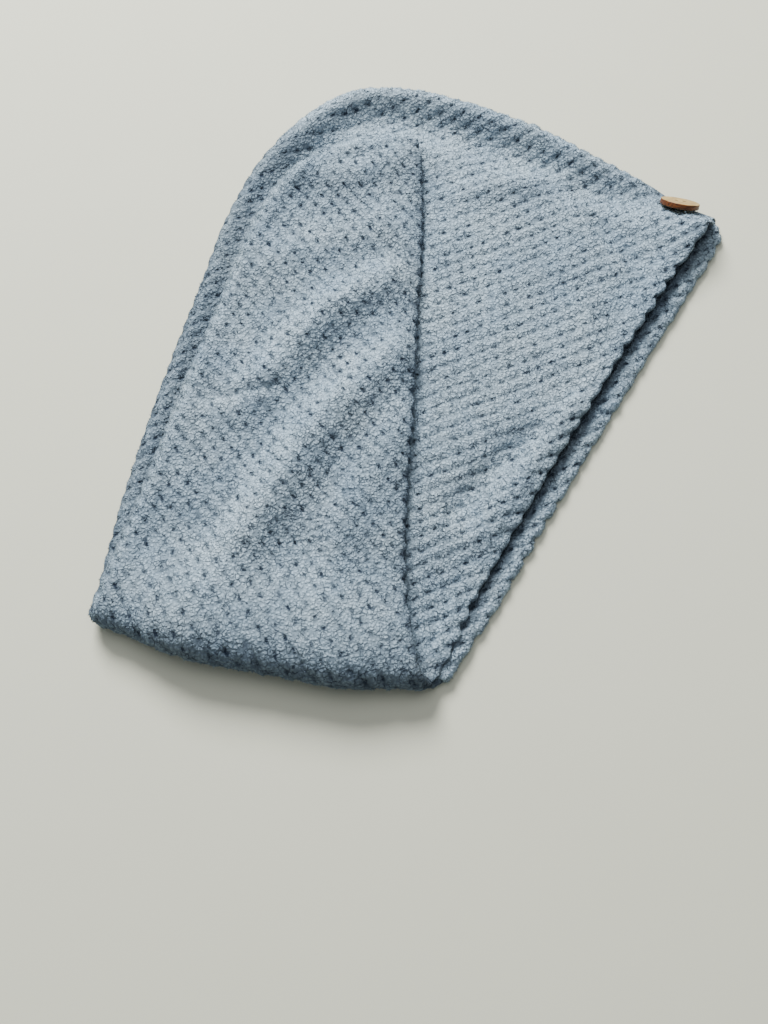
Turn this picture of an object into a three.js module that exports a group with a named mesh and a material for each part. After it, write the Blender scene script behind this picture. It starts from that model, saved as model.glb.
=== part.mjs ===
import * as THREE from 'three';

// A hair towel of thick fleece, lying folded: the head pocket is flat on the table
// and the tail is turned back over it along one fold. Millimetres, +Z up.
//
// The towel is worked out on its flat cut. There x runs along the straight edge,
// from the fold (0) to the nape (MOUTH) and along the tail below 0, and y runs
// from the straight edge towards the crown seam.

// Driving sizes
const MOUTH = 321; // open edge of the head pocket
const TOWEL_TURN = 58.9; // degrees from +X to the straight edge as the towel lies
const WALL = 3; // one fleece panel with its puffs
const SEAM_GAP = 0.3; // between the two panels where they are sewn
const SEAM_EDGE = 0.6; // panel thickness left at the very seam
const SEAM_ROUND = 5.5; // width over which a panel rounds down to the seam
const SEAM_LIFT = 1.3; // height of the seam above the inner face of the lower panel
const SEAM_LIFT_WIDTH = 12;
const HEM_EXTRA = 0.9; // added thickness of the turned hem at the mouth
const HEM_STEP = { from: 8, to: 11 }; // from the free edge, where the hem ends
const HEM_SEAM = { from: 2, to: 14 }; // from the seam, where the hem starts
const HEM_ROUND = 2.4; // width over which the free edge rounds off
const HEM_EDGE = 0.25; // share of the thickness left at the free edge
const POCKET_GAP = 6; // hollow of the head pocket as it lies
const POCKET_SLOPE = { from: 13, to: 36 }; // from the seam, where the hollow opens
const POCKET_DEEPENS = { from: 12, to: 80 }; // from the fold, where it deepens
const FOLD_GAP = 0.9; // between the panels inside the fold
const TAIL_GAP = 0.5; // between the panels of the tail
const TAIL_GAP_SLOPE = 12;
const SEAM_PUFF = 2.3; // swelling of the seam allowance beside the seam
const SEAM_PUFF_AT = 7;
const SEAM_PUFF_WIDTH = 5.5;
const SEAM_PUFF_START = 5;
const FOLD_SETTLE = 48; // how far from the fold the layers come to rest
const FOLD_TURN = 12; // the panels change sides within this distance of the fold
const TAIL_CLEARANCE = 0.8; // between the tail and the head pocket below it
const TAIL_SUPPORT = { beside: 2.8, from: 4, to: 34 }; // the pocket's top under the tail

// Where the fold crosses the seam edge of the flat cut
const FOLD_END = new THREE.Vector2(-53, 164);

// The roll at the fold, by share of its length from the straight edge: its outer
// radius, its height above the table, and how far it bows outwards.
const FOLD_ROLL = [
  { x: 0, radius: 9.5, lift: 2, bow: 0.5 },
  { x: 0.3, radius: 12, lift: 3, bow: 10.5 },
  { x: 0.68, radius: 12, lift: 3.5, bow: 13 },
  { x: 1, radius: 7.5, lift: 2.5, bow: 4.5 },
];

// Cross lines of the flat cut, from the nape to the tip of the tail: one end on
// the straight edge and the other on the seam edge.
const STATIONS = [
  { frontX: 320.5, frontY: 0, seamX: 324, seamY: 118 },
  { frontX: 317, frontY: 0, seamX: 318, seamY: 162 },
  { frontX: 309, frontY: 0, seamX: 308, seamY: 197 },
  { frontX: 298, frontY: 0, seamX: 290, seamY: 224 },
  { frontX: 280, frontY: 0, seamX: 262, seamY: 238 },
  { frontX: 256, frontY: 0, seamX: 225, seamY: 244 },
  { frontX: 224, frontY: 0, seamX: 180, seamY: 239 },
  { frontX: 184, frontY: 0, seamX: 133, seamY: 226 },
  { frontX: 138, frontY: 0, seamX: 86, seamY: 213 },
  { frontX: 92, frontY: 0, seamX: 40, seamY: 199 },
  { frontX: 48, frontY: 0, seamX: -4, seamY: 184 },
  { frontX: 12, frontY: 0, seamX: -42, seamY: 168 },
  { frontX: 0, frontY: 1, seamX: -55, seamY: 163 },
  { frontX: -12, frontY: 5, seamX: -68, seamY: 158 },
  { frontX: -50, frontY: 8, seamX: -101, seamY: 144 },
  { frontX: -95, frontY: 4, seamX: -140, seamY: 128 },
  { frontX: -140, frontY: -3, seamX: -180, seamY: 113 },
  { frontX: -185, frontY: -9, seamX: -220, seamY: 96 },
  { frontX: -225, frontY: -15, seamX: -256, seamY: 82 },
  { frontX: -262, frontY: -20, seamX: -284, seamY: 68 },
  { frontX: -290, frontY: -22, seamX: -303, seamY: 52 },
  { frontX: -309, frontY: -23, seamX: -314, seamY: 33 },
  { frontX: -319, frontY: -22, seamX: -321, seamY: 10 },
];

// The mouth: where each panel's free edge lies and how far the pocket gapes there.
const MOUTH_EDGE = [
  { x: 0, upperY: 0, lowerY: 0, gape: 0.3 },
  { x: 15, upperY: 2, lowerY: -2, gape: 1 },
  { x: 60, upperY: 6, lowerY: -4, gape: 3 },
  { x: 130, upperY: 6, lowerY: -4, gape: 5.4 },
  { x: 200, upperY: 5.5, lowerY: -5.5, gape: 6 },
  { x: 265, upperY: 3.5, lowerY: -7.5, gape: 7.5 },
  { x: 296, upperY: 1, lowerY: -8.5, gape: 10.5 },
  { x: 309, upperY: -0.5, lowerY: -7, gape: 8.5 },
  { x: MOUTH, upperY: 0, lowerY: -1, gape: 0.3 },
];
const GAPE = { from: 4, to: 42 }; // how far into the pocket the gape reaches
const GAPE_SEAM = { from: -1, to: 14 }; // from the seam, where the mouth opens

// Soft ridges of the cloth: each line runs through its points on the flat cut, and
// a negative rise is a dent.
const TAIL_RIDGES = [
  { line: 1, x: -226, y: 4, rise: 5.6, width: 10 },
  { line: 1, x: -209, y: 35, rise: 7, width: 11 },
  { line: 1, x: -192, y: 52, rise: 7, width: 11 },
  { line: 1, x: -174, y: 68, rise: 6, width: 11 },
  { line: 1, x: -156, y: 84, rise: 3.5, width: 11 },
  { line: 2, x: -178, y: 4, rise: 6, width: 12 },
  { line: 2, x: -147, y: 40, rise: 8, width: 13 },
  { line: 2, x: -113, y: 66, rise: 8, width: 13 },
  { line: 2, x: -82, y: 86, rise: 8, width: 13 },
  { line: 2, x: -64, y: 102, rise: 5, width: 12 },
  { line: 3, x: -139, y: 4, rise: 2.4, width: 11 },
  { line: 3, x: -78, y: 42, rise: 2.6, width: 12 },
  { line: 3, x: -38, y: 54, rise: 2.8, width: 12 },
  { line: 4, x: -297, y: 46, rise: 3.2, width: 9 },
  { line: 4, x: -297, y: 14, rise: 3, width: 9 },
  { line: 4, x: -305, y: -10, rise: 2.6, width: 9 },
  { line: 5, x: -262, y: 2, rise: 2.6, width: 12 },
  { line: 5, x: -244, y: 66, rise: 2.6, width: 12 },
];
const HEAD_RIDGES = [
  { line: 1, x: 170, y: 13, rise: 3, width: 7 },
  { line: 1, x: 123, y: 17, rise: 3, width: 7 },
  { line: 1, x: 78, y: 19, rise: 3, width: 7 },
  { line: 2, x: 86, y: 38, rise: -2.8, width: 7 },
  { line: 2, x: 118, y: 32, rise: -2.8, width: 7 },
  { line: 2, x: 146, y: 23, rise: -2, width: 7 },
  { line: 3, x: 262, y: 124, rise: 3, width: 9 },
  { line: 3, x: 296, y: 86, rise: 3, width: 9 },
  { line: 4, x: 210, y: 41, rise: -1.8, width: 14 },
  { line: 4, x: 222, y: 55, rise: -1.8, width: 14 },
  { line: 5, x: 304, y: 6, rise: 4, width: 12 },
  { line: 5, x: 306, y: 32, rise: 4, width: 12 },
  { line: 6, x: 196, y: 120, rise: 1.2, width: 12 },
  { line: 6, x: 180, y: 60, rise: 1.2, width: 12 },
  { line: 7, x: 236, y: 190, rise: 1.4, width: 14 },
  { line: 7, x: 214, y: 128, rise: 1.4, width: 14 },
];
const RIDGE_SEAM = { from: 4, to: 18 }; // from the seam, where the pocket's ridges start

// The roll of the crown, beside its seam and clear of the tail
const CROWN_ROLL = { rise: 7, at: 12, outside: 8, inside: 8 };
const CROWN_POCKET = 13; // how much further in the pocket opens beside the roll
const CROWN_FROM = { from: 30, to: 90 }; // from the mouth, where it starts
const CROWN_END = { from: 196, to: 246 }; // along the cut, where it begins
const TAIL_STRAIGHT = { from: 0.3, to: 0.7 }; // share across the tail, from its straight edge
const TAIL_FLATTER = 0.75; // how much flatter the straight edge lies than the seam edge

// The wooden button, sewn to the rolled edge beside the nape
const BUTTON_DIAMETER = 22;
const BUTTON_THICKNESS = 3;
const BUTTON_BEVEL = 0.35;
const BUTTON_SIDES = 32;
const BUTTON_HOLE = 1.7;
const BUTTON_HOLE_SIDES = 10;
const BUTTON_HOLE_PITCH = 4.6;
const BUTTON_X = 314.8; // on the flat cut
const BUTTON_Y = 21.8;
const BUTTON_HEIGHT = 13.3; // middle of the button above the table
const BUTTON_PRESS = 1.6; // how far its thread flattens the fleece under it
const BUTTON_DRAW = 3; // and draws the rolled edge in
const BUTTON_PRESS_WIDTH = 15;
const BUTTON_FACES = new THREE.Vector3(0.146, 0.671, 0.728).normalize();

// Fineness of the panels: steps along the towel within each part of its length
const FINE_STATIONS = [0, 0.28, 0.65];
const HEAD_STEPS = 22;
const ROLL_STEPS = 10;
const TAIL_STEPS = 19;
const LAST_STATIONS = [0.4, 0.72, 1];
const SIDE_OFFSETS = [0, 1.1, 3, 6.5]; // from each edge, where the panel rounds off
const MIDDLE_STEPS = 13;
const OUTLINE_STEPS = 5; // points of the sewn outline for each row of the table
const NORMAL_STEP = 0.5;

const COLOURS = { fleece: 0x8d9aa3, wood: 0xc9a578 };

const clamp01 = (value) => Math.min(1, Math.max(0, value));
const mix = (low, high, share) => low + (high - low) * share;

function smooth(low, high, value) {
  const share = clamp01((value - low) / (high - low));
  return share * share * (3 - 2 * share);
}

// The same between the two ends of a named stretch
function rise(stretch, value) {
  return smooth(stretch.from, stretch.to, value);
}

// A bell that is 1 at the middle and fades to nothing
function bell(distance, width) {
  return Math.exp(-((distance / width) ** 2));
}

// Reads one column of a table at x, easing between its rows
function readTable(rows, column, x) {
  if (x <= rows[0].x) {
    return rows[0][column];
  }
  for (let i = 1; i < rows.length; i++) {
    if (x <= rows[i].x) {
      const share = (x - rows[i - 1].x) / (rows[i].x - rows[i - 1].x);
      return mix(rows[i - 1][column], rows[i][column], smooth(0, 1, share));
    }
  }
  return rows[rows.length - 1][column];
}

// The two long edges of the cut as smooth curves, one point a station
const frontEdge = new THREE.CatmullRomCurve3(
  STATIONS.map((row) => new THREE.Vector3(row.frontX, row.frontY, 0)),
);
const seamEdge = new THREE.CatmullRomCurve3(
  STATIONS.map((row) => new THREE.Vector3(row.seamX, row.seamY, 0)),
);
const LAST = STATIONS.length - 1;
const FOLD_STATION = STATIONS.findIndex((row) => row.frontX === 0);
const ROLL_STATIONS = 1; // rows of the table on each side of the fold that roll round

// Sewn outline: head end, crown seam, tip of the tail and the tail's straight edge
function sewnOutline() {
  const points = [frontEdge.getPoint(0)];
  const steps = LAST * OUTLINE_STEPS;
  for (let i = 0; i <= steps; i++) {
    points.push(seamEdge.getPoint(i / steps));
  }
  for (let i = steps; i * LAST >= steps * FOLD_STATION; i--) {
    points.push(frontEdge.getPoint(i / steps));
  }
  return points;
}
const outline = sewnOutline();

// Share of the way from a to b that lies nearest, and how far off it is
function onSegment(x, y, a, b) {
  const length2 = (b.x - a.x) ** 2 + (b.y - a.y) ** 2;
  const along = length2 > 0 ? ((x - a.x) * (b.x - a.x) + (y - a.y) * (b.y - a.y)) / length2 : 0;
  const share = clamp01(along);
  return { share, distance: Math.hypot(x - mix(a.x, b.x, share), y - mix(a.y, b.y, share)) };
}

function seamDistance(x, y) {
  let nearest = Infinity;
  for (let i = 1; i < outline.length; i++) {
    nearest = Math.min(nearest, onSegment(x, y, outline[i - 1], outline[i]).distance);
  }
  return nearest;
}

function ridgeHeight(ridges, x, y) {
  const heights = new Map();
  for (let i = 1; i < ridges.length; i++) {
    const from = ridges[i - 1];
    const to = ridges[i];
    if (from.line === to.line) {
      const { share, distance } = onSegment(x, y, from, to);
      const top = mix(from.rise, to.rise, share);
      const height = top * bell(distance, mix(from.width, to.width, share));
      const highest = heights.get(to.line) ?? 0;
      heights.set(to.line, Math.abs(height) > Math.abs(highest) ? height : highest);
    }
  }
  return [...heights.values()].reduce((sum, height) => sum + height, 0);
}

// The fold line on the flat cut: along it, and at right angles towards the head
const foldAlong = FOLD_END.clone().normalize();
const foldAcross = new THREE.Vector2(foldAlong.y, -foldAlong.x);
const foldLength = FOLD_END.length();
const foldCoordinates = (x, y) => ({
  along: x * foldAlong.x + y * foldAlong.y,
  across: x * foldAcross.x + y * foldAcross.y,
});

// Opening between the panels. The upper panel of the head takes the whole gape of
// the pocket, and the outer panel of the tail the swelling beside its seam.
function seamPuff(distance) {
  const swelling = bell(distance - SEAM_PUFF_AT, SEAM_PUFF_WIDTH);
  return SEAM_PUFF * swelling * smooth(0, SEAM_PUFF_START, distance);
}

// Share of the pull of the button's thread, strongest on the rolled edge
function buttonPress(x, y) {
  return bell(Math.hypot(x - MOUTH, y - BUTTON_Y), BUTTON_PRESS_WIDTH);
}

function pocketDepth(x, y) {
  return mix(FOLD_GAP, POCKET_GAP, rise(POCKET_DEEPENS, foldCoordinates(x, y).across));
}

// Share of the crown's roll at one place
const onCrown = (x, y) => rise(CROWN_FROM, y) * rise(CROWN_END, x);

function crownRoll(x, y, distance) {
  const width = distance < CROWN_ROLL.at ? CROWN_ROLL.outside : CROWN_ROLL.inside;
  const rolled = CROWN_ROLL.rise * bell(distance - CROWN_ROLL.at, width);
  return rolled * onCrown(x, y) * smooth(0, SEAM_PUFF_START, distance);
}

function pocketGap(x, y) {
  const distance = seamDistance(x, y);
  const fromRim = distance - CROWN_POCKET * onCrown(x, y);
  const inside = pocketDepth(x, y) * rise(POCKET_SLOPE, fromRim);
  const gape = readTable(MOUTH_EDGE, 'gape', x) * rise(GAPE_SEAM, distance);
  const nearMouth = 1 - rise(GAPE, y);
  const ridges = ridgeHeight(HEAD_RIDGES, x, y) * rise(RIDGE_SEAM, distance);
  const open = mix(inside, gape, nearMouth) + ridges;
  const puff = seamPuff(distance) * (1 - nearMouth) * (1 - buttonPress(x, y));
  return Math.max(0, open) + puff + crownRoll(x, y, distance);
}

// Height that the tail rests at above the head, without its dips beside the seam
function tailSupport(x, y) {
  const { beside } = TAIL_SUPPORT;
  const middle = Math.max(beside, pocketDepth(x, y));
  return mix(beside, middle, rise(TAIL_SUPPORT, seamDistance(x, y))) + 2 * WALL + SEAM_GAP;
}

// The roll at one place along the fold
function rollAt(along) {
  const share = clamp01(along / foldLength);
  const radius = readTable(FOLD_ROLL, 'radius', share);
  return {
    radius,
    core: radius - WALL - SEAM_GAP / 2,
    lift: readTable(FOLD_ROLL, 'lift', share),
    bow: readTable(FOLD_ROLL, 'bow', share),
  };
}

function planPoint(along, across) {
  return {
    x: along * foldAlong.x + across * foldAcross.x,
    y: along * foldAlong.y + across * foldAcross.y,
  };
}

// The sheet between the two panels as it lies: a point of the flat cut in space
function sheetPoint(flatX, y) {
  const x = flatX - BUTTON_DRAW * buttonPress(flatX, y);
  const { along, across } = foldCoordinates(x, y);
  const roll = rollAt(along);
  const lying = WALL + SEAM_GAP / 2;
  const bowed = roll.bow * (1 - smooth(0, FOLD_SETTLE, Math.abs(across)));
  if (across >= roll.radius) {
    const plan = planPoint(along, across - bowed);
    const lifted = roll.lift * (1 - smooth(roll.radius, FOLD_SETTLE, across));
    return new THREE.Vector3(plan.x, plan.y, lying + lifted);
  }
  const rollTop = lying + roll.lift + 2 * roll.core;
  if (across <= -roll.radius) {
    const plan = planPoint(along, -across - bowed);
    const support = tailSupport(plan.x, plan.y);
    const rest = support + TAIL_CLEARANCE + WALL + TAIL_GAP + SEAM_GAP / 2;
    const settled = smooth(roll.radius, roll.radius + FOLD_SETTLE, -across);
    const height = mix(rollTop, rest, settled) + ridgeHeight(TAIL_RIDGES, x, y) * settled;
    return new THREE.Vector3(plan.x, plan.y, height);
  }
  const angle = (across / roll.radius) * (Math.PI / 2);
  const plan = planPoint(along, roll.radius - roll.core * Math.cos(angle) - bowed);
  const height = lying + roll.lift + roll.core * (1 - Math.sin(angle));
  return new THREE.Vector3(plan.x, plan.y, height);
}

// Points from the lower panel to the upper one, and from the outer panel of the
// tail to the inner one
function sheetNormal(x, y) {
  const step = NORMAL_STEP;
  const alongX = sheetPoint(x + step, y).sub(sheetPoint(x - step, y));
  const alongY = sheetPoint(x, y + step).sub(sheetPoint(x, y - step));
  return alongX.cross(alongY).normalize();
}

// Both faces of a panel at one point of the cut, as offsets along the normal. The
// hem of the lower panel thickens upwards, because its other face is on the table.
function panelOffsets(upper, x, y, fromFreeEdge, shareAcross) {
  const distance = seamDistance(x, y);
  const { across } = foldCoordinates(x, y);
  const onTail = 1 - smooth(-FOLD_TURN, FOLD_TURN, across);
  const seamShare = clamp01(distance / SEAM_ROUND);
  const seamRound = Math.sqrt(1 - (1 - seamShare) ** 2);
  const hem = HEM_EXTRA * (1 - rise(HEM_STEP, fromFreeEdge)) * rise(HEM_SEAM, distance);
  const hemShare = clamp01(fromFreeEdge / HEM_ROUND);
  const hemRound = mix(HEM_EDGE, 1, Math.sqrt(1 - (1 - hemShare) ** 2));
  const pressed = upper ? BUTTON_PRESS * buttonPress(x, y) : 0;
  const wall = WALL + hem - pressed;
  const full = Math.max(SEAM_EDGE, wall * seamRound);
  const thickness = Math.max(SEAM_EDGE, full * hemRound);
  const flatter = 1 - TAIL_FLATTER * onTail * (1 - rise(TAIL_STRAIGHT, shareAcross));
  const lift = SEAM_LIFT * (1 - smooth(0, SEAM_LIFT_WIDTH, distance)) * flatter;
  const gap = upper
    ? mix(pocketGap(x, y), TAIL_GAP * smooth(0, TAIL_GAP_SLOPE, distance), onTail)
    : mix(0, seamPuff(distance) * flatter, onTail);
  const hemInward = upper ? 0 : full - Math.min(full, WALL);
  const inner = SEAM_GAP / 2 + gap + (full - thickness) / 2 - hemInward;
  const side = upper ? 1 : -1;
  return { inner: lift + side * inner, outer: lift + side * (inner + thickness) };
}

// Stations along the towel, closer together at both ends and round the fold
function stationSteps() {
  const steps = [...FINE_STATIONS];
  const rollStart = FOLD_STATION - ROLL_STATIONS;
  const rollEnd = FOLD_STATION + ROLL_STATIONS;
  for (let i = 0; i < HEAD_STEPS; i++) {
    steps.push(mix(1, rollStart, i / HEAD_STEPS));
  }
  for (let i = 0; i < ROLL_STEPS; i++) {
    steps.push(mix(rollStart, rollEnd, i / ROLL_STEPS));
  }
  for (let i = 0; i <= TAIL_STEPS; i++) {
    steps.push(mix(rollEnd, LAST - 1, i / TAIL_STEPS));
  }
  LAST_STATIONS.forEach((share) => steps.push(LAST - 1 + share));
  return steps;
}

// Shares across a station of the given length, closer together at both sides
function crossShares(length) {
  const fit = Math.min(1, length / (4 * SIDE_OFFSETS[SIDE_OFFSETS.length - 1]));
  const near = SIDE_OFFSETS.map((offset) => (offset * fit) / length);
  const shares = near.slice(0, -1);
  const first = near[near.length - 1];
  for (let i = 0; i <= MIDDLE_STEPS; i++) {
    shares.push(mix(first, 1 - first, i / MIDDLE_STEPS));
  }
  near
    .slice(0, -1)
    .reverse()
    .forEach((share) => shares.push(1 - share));
  return shares;
}

// One panel as a closed wall: a grid of points on each face, joined round the edge
function panelGeometry(upper) {
  const positions = [];
  const stations = stationSteps();
  let columns = 0;
  for (const station of stations) {
    const front = frontEdge.getPoint(station / LAST);
    const seam = seamEdge.getPoint(station / LAST);
    const onMouth = front.x > 0;
    if (onMouth) {
      front.y += readTable(MOUTH_EDGE, upper ? 'upperY' : 'lowerY', front.x);
    }
    const length = front.distanceTo(seam);
    const shares = crossShares(length);
    columns = shares.length;
    for (const share of shares) {
      const x = mix(front.x, seam.x, share);
      const y = mix(front.y, seam.y, share);
      const fromFreeEdge = onMouth ? share * length : HEM_STEP.to;
      const offsets = panelOffsets(upper, x, y, fromFreeEdge, share);
      const centre = sheetPoint(x, y);
      const normal = sheetNormal(x, y);
      positions.push(...centre.clone().addScaledVector(normal, offsets.inner));
      positions.push(...centre.clone().addScaledVector(normal, offsets.outer));
    }
  }
  return closedWall(positions, stations.length, columns, upper);
}

function closedWall(positions, rows, columns, outerIsUp) {
  const indices = [];
  const at = (row, column, outer) => 2 * (row * columns + column) + (outer ? 1 : 0);
  const quad = (a, b, c, d) => {
    const corners = outerIsUp ? [a, b, c, a, c, d] : [a, c, b, a, d, c];
    indices.push(...corners);
  };
  for (let i = 0; i + 1 < rows; i++) {
    for (let j = 0; j + 1 < columns; j++) {
      quad(at(i, j, true), at(i, j + 1, true), at(i + 1, j + 1, true), at(i + 1, j, true));
      quad(at(i, j, false), at(i + 1, j, false), at(i + 1, j + 1, false), at(i, j + 1, false));
    }
    const end = columns - 1;
    quad(at(i, 0, false), at(i, 0, true), at(i + 1, 0, true), at(i + 1, 0, false));
    quad(at(i, end, false), at(i + 1, end, false), at(i + 1, end, true), at(i, end, true));
  }
  for (let j = 0; j + 1 < columns; j++) {
    const end = rows - 1;
    quad(at(0, j, false), at(0, j + 1, false), at(0, j + 1, true), at(0, j, true));
    quad(at(end, j, false), at(end, j, true), at(end, j + 1, true), at(end, j + 1, false));
  }
  const geometry = new THREE.BufferGeometry();
  geometry.setAttribute('position', new THREE.Float32BufferAttribute(positions, 3));
  geometry.setIndex(indices);
  geometry.computeVertexNormals();
  return geometry;
}

function fleeceMaterial() {
  return new THREE.MeshStandardMaterial({ color: COLOURS.fleece, roughness: 0.95, metalness: 0 });
}

function panel(name, upper) {
  const mesh = new THREE.Mesh(panelGeometry(upper), fleeceMaterial());
  mesh.name = name;
  return mesh;
}

function polygonPath(radius, sides, centreX) {
  const points = [];
  for (let i = 0; i < sides; i++) {
    const angle = (2 * Math.PI * i) / sides;
    points.push(new THREE.Vector2(centreX + radius * Math.cos(angle), radius * Math.sin(angle)));
  }
  return points;
}

// A round wooden disc with two thread holes, its face turned up and outwards
function button() {
  const radius = BUTTON_DIAMETER / 2 - BUTTON_BEVEL;
  const disc = new THREE.Shape(polygonPath(radius, BUTTON_SIDES, 0));
  for (const side of [-1, 1]) {
    const hole = polygonPath(BUTTON_HOLE / 2, BUTTON_HOLE_SIDES, (side * BUTTON_HOLE_PITCH) / 2);
    disc.holes.push(new THREE.Path(hole.reverse()));
  }
  const geometry = new THREE.ExtrudeGeometry(disc, {
    depth: BUTTON_THICKNESS - 2 * BUTTON_BEVEL,
    bevelEnabled: true,
    bevelThickness: BUTTON_BEVEL,
    bevelSize: BUTTON_BEVEL,
    bevelSegments: 1,
  });
  geometry.translate(0, 0, BUTTON_BEVEL - BUTTON_THICKNESS / 2);
  const material = new THREE.MeshStandardMaterial({
    color: COLOURS.wood,
    roughness: 0.55,
    metalness: 0,
  });
  const mesh = new THREE.Mesh(geometry, material);
  mesh.name = 'button';
  return mesh;
}

const towel = new THREE.Group();
towel.rotation.z = THREE.MathUtils.degToRad(TOWEL_TURN);
towel.add(panel('left_panel', true));
towel.add(panel('right_panel', false));

// The origin is under the middle of the towel's box
towel.updateMatrixWorld(true);
const box = new THREE.Box3().setFromObject(towel, true);
towel.position.set(-(box.min.x + box.max.x) / 2, -(box.min.y + box.max.y) / 2, 0);
towel.updateMatrixWorld(true);

const sewnButton = button();
sewnButton.position.copy(towel.localToWorld(new THREE.Vector3(BUTTON_X, BUTTON_Y, BUTTON_HEIGHT)));
sewnButton.quaternion.setFromUnitVectors(new THREE.Vector3(0, 0, 1), BUTTON_FACES);

const part = new THREE.Group();
part.add(towel, sewnButton);

export default part;
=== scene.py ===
import math

import bpy
import numpy as np
from mathutils import Matrix, Vector


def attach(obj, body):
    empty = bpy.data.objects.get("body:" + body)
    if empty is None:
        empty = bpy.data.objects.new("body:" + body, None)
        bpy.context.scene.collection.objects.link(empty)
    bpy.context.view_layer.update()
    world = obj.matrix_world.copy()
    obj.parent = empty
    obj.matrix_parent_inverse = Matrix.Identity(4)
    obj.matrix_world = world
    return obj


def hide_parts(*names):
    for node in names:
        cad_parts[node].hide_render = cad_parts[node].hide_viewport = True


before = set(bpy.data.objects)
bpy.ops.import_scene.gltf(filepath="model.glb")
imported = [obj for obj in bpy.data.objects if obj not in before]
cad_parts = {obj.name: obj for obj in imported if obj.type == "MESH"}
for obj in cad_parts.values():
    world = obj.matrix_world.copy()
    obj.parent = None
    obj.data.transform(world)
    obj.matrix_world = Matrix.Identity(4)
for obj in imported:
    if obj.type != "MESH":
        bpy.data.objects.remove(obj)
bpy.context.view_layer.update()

# A hair towel of thick fleece, lying folded: the head pocket is flat on the table
# and the tail is turned back over it along one fold. The forms below are worked
# out in millimetres on the flat cut, as in the part's source: x runs along the
# straight edge, from the fold (0) to the nape (MOUTH) and along the tail below 0,
# and y runs from the straight edge towards the crown seam.

MM = 0.001
RANDOM_SEED = 7

# Where the flat cut lies in the part's frame
TOWEL_TURN = math.radians(58.9)
TOWEL_AT = (0.75378, -183.26882)

# Driving sizes of the towel
MOUTH = 321
WALL = 3
SEAM_GAP = 0.3
SEAM_EDGE = 0.6
SEAM_ROUND = 5.5
TAIL_EDGE_ROUND = 2.2
SEAM_LIFT = 1.3
SEAM_LIFT_WIDTH = 12
HEM_EXTRA = 0.9
HEM_STEP = (8, 11)
HEM_SEAM = (2, 14)
HEM_ROUND = 2.4
HEM_EDGE = 0.25
POCKET_GAP = 6
POCKET_SLOPE = (13, 36)
POCKET_DEEPENS = (12, 80)
FOLD_GAP = 0.9
TAIL_GAP = 0.5
TAIL_GAP_SLOPE = 12
SEAM_PUFF = 2.3
SEAM_PUFF_AT = 7
SEAM_PUFF_WIDTH = 5.5
SEAM_PUFF_START = 5
FOLD_SETTLE = 48
FOLD_TURN = 12
TAIL_CLEARANCE = 0.8
TAIL_BESIDE = 2.8
TAIL_SUPPORT = (4, 34)
GAPE = (4, 42)
GAPE_SEAM = (-1, 14)
RIDGE_SEAM = (4, 18)
BUTTON_Y = 21.8
BUTTON_PRESS = 1.6
BUTTON_DRAW = 3
BUTTON_PRESS_WIDTH = 15


def table(columns, *rows):
    return dict(zip(columns.split(), np.array(rows, float).T))


FOLD_ROLL = table("x radius lift bow",
                  (0, 9.5, 2, 0.5), (0.3, 12, 3, 10.5), (0.68, 12, 3.5, 13), (1, 7.5, 2.5, 4.5))
STATIONS = table("front_x front_y seam_x seam_y",
                 (320.5, 0, 324, 118), (317, 0, 318, 162), (309, 0, 308, 197), (298, 0, 290, 224),
                 (280, 0, 262, 238), (256, 0, 225, 244), (224, 0, 180, 239), (184, 0, 133, 226),
                 (138, 0, 86, 213), (92, 0, 40, 199), (48, 0, -4, 184), (12, 0, -42, 168),
                 (0, 1, -55, 163), (-12, 5, -68, 158), (-50, 8, -101, 144), (-95, 4, -140, 128),
                 (-140, -3, -180, 113), (-185, -9, -220, 96), (-225, -15, -256, 82),
                 (-262, -20, -284, 68), (-290, -22, -303, 52), (-309, -23, -314, 33),
                 (-319, -22, -321, 10))
MOUTH_EDGE = table("x upper_y lower_y gape",
                   (0, 0, 0, 0.3), (15, 2, -2, 1), (60, 6, -4, 2.2), (130, 6.4, -3.5, 3.2),
                   (200, 6, -4.5, 3.6), (265, 4, -6, 5), (296, 1.4, -7.5, 8.6),
                   (309, -0.5, -6.5, 8.5), (MOUTH, 0, -1, 0.3))
# Soft ridges of the cloth, each a line through its points; a negative rise is a dent
TAIL_RIDGES = table("line x y rise width",
                    (1, -226, 4, 5.6, 10), (1, -209, 35, 7, 11), (1, -192, 52, 7, 11),
                    (1, -174, 68, 6, 11), (1, -156, 84, 3.5, 11),
                    (2, -178, 4, 6, 12), (2, -147, 40, 8, 13), (2, -113, 66, 8, 13),
                    (2, -82, 86, 8, 13), (2, -64, 102, 5, 12),
                    (3, -139, 4, 2.4, 11), (3, -78, 42, 2.6, 12), (3, -38, 54, 2.8, 12),
                    (4, -297, 46, 3.2, 9), (4, -297, 14, 3, 9), (4, -305, -10, 2.6, 9),
                    (5, -262, 2, 2.6, 12), (5, -244, 66, 2.6, 12),
                    (6, -166, 66, -1.8, 4), (6, -160, 88, -1.8, 4), (6, -165, 110, -1.8, 4))
HEAD_RIDGES = table("line x y rise width",
                    (1, 170, 13, 3, 7), (1, 123, 17, 3, 7), (1, 78, 19, 3, 7),
                    (2, 86, 38, -2.8, 7), (2, 118, 32, -2.8, 7), (2, 146, 23, -2, 7),
                    (3, 262, 124, 3, 9), (3, 296, 86, 3, 9),
                    (4, 281, 62, -2.4, 5), (4, 266, 25, -2.4, 5),
                    (5, 272, 64, 1.4, 6), (5, 256, 30, 1.4, 6),
                    (6, 210, 41, -1.8, 14), (6, 222, 55, -1.8, 14),
                    (7, 304, 6, 4, 12), (7, 306, 32, 4, 12),
                    (8, 196, 120, 1.2, 12), (8, 180, 60, 1.2, 12),
                    (9, 236, 190, 1.4, 14), (9, 214, 128, 1.4, 14))
RIDGE_FLOOR = -0.3  # the tail's dents go no deeper
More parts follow.
